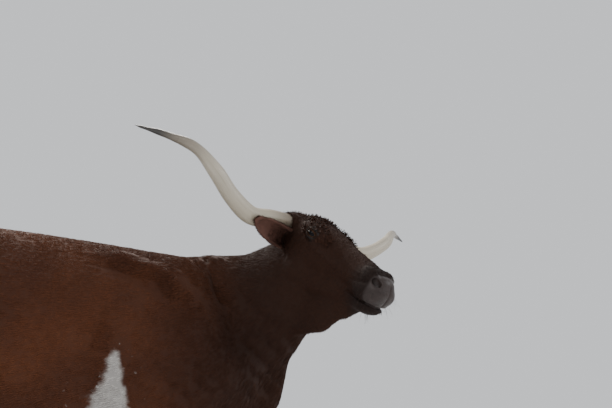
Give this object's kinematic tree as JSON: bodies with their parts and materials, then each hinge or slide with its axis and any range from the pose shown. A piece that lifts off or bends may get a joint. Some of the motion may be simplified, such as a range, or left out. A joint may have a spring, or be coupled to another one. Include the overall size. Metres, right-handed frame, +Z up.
{
  "type": "texas longhorn",
  "caption": "Life-size still model of a standing dark red-brown longhorn steer, head turned to its right, with long twisted horns lying level across the head",
  "frame": {"origin": "the middle of the bounding box, on the floor between the hooves", "axes": "+X runs forward along the body, +Y to the animal's left, +Z up"},
  "size_m": [2.5545, 0.9217, 1.645],
  "materials": {
    "hide": "short matt coat, dark red-brown",
    "dark_hide": "short matt coat, nearly black-brown on the head and neck",
    "ear_skin": "haired ear with a paler, pink-brown inside",
    "horn": "satin horn, pale grey-cream with dark tips",
    "eye": "wet, dark brown",
    "hoof": "dull dark hoof horn",
    "switch": "coarse dark tail hair"
  },
  "bodies": {
    "root": {"torso": "hide", "neck": "dark_hide", "head": "dark_hide", "tail": "hide", "tail_switch": "switch", "fore_leg_left": "hide", "fore_claw_inner_left": "hoof", "fore_dewclaw_inner_left": "hoof", "fore_claw_outer_left": "hoof", "fore_dewclaw_outer_left": "hoof", "hind_leg_left": "hide", "hind_claw_inner_left": "hoof", "hind_dewclaw_inner_left": "hoof", "hind_claw_outer_left": "hoof", "hind_dewclaw_outer_left": "hoof", "horn_left": "horn", "eye_left": "eye", "ear_left": "ear_skin", "fore_leg_right": "hide", "fore_claw_inner_right": "hoof", "fore_dewclaw_inner_right": "hoof", "fore_claw_outer_right": "hoof", "fore_dewclaw_outer_right": "hoof", "hind_leg_right": "hide", "hind_claw_inner_right": "hoof", "hind_dewclaw_inner_right": "hoof", "hind_claw_outer_right": "hoof", "hind_dewclaw_outer_right": "hoof", "horn_right": "horn", "eye_right": "eye", "ear_right": "ear_skin"}
  },
  "joints": []
}
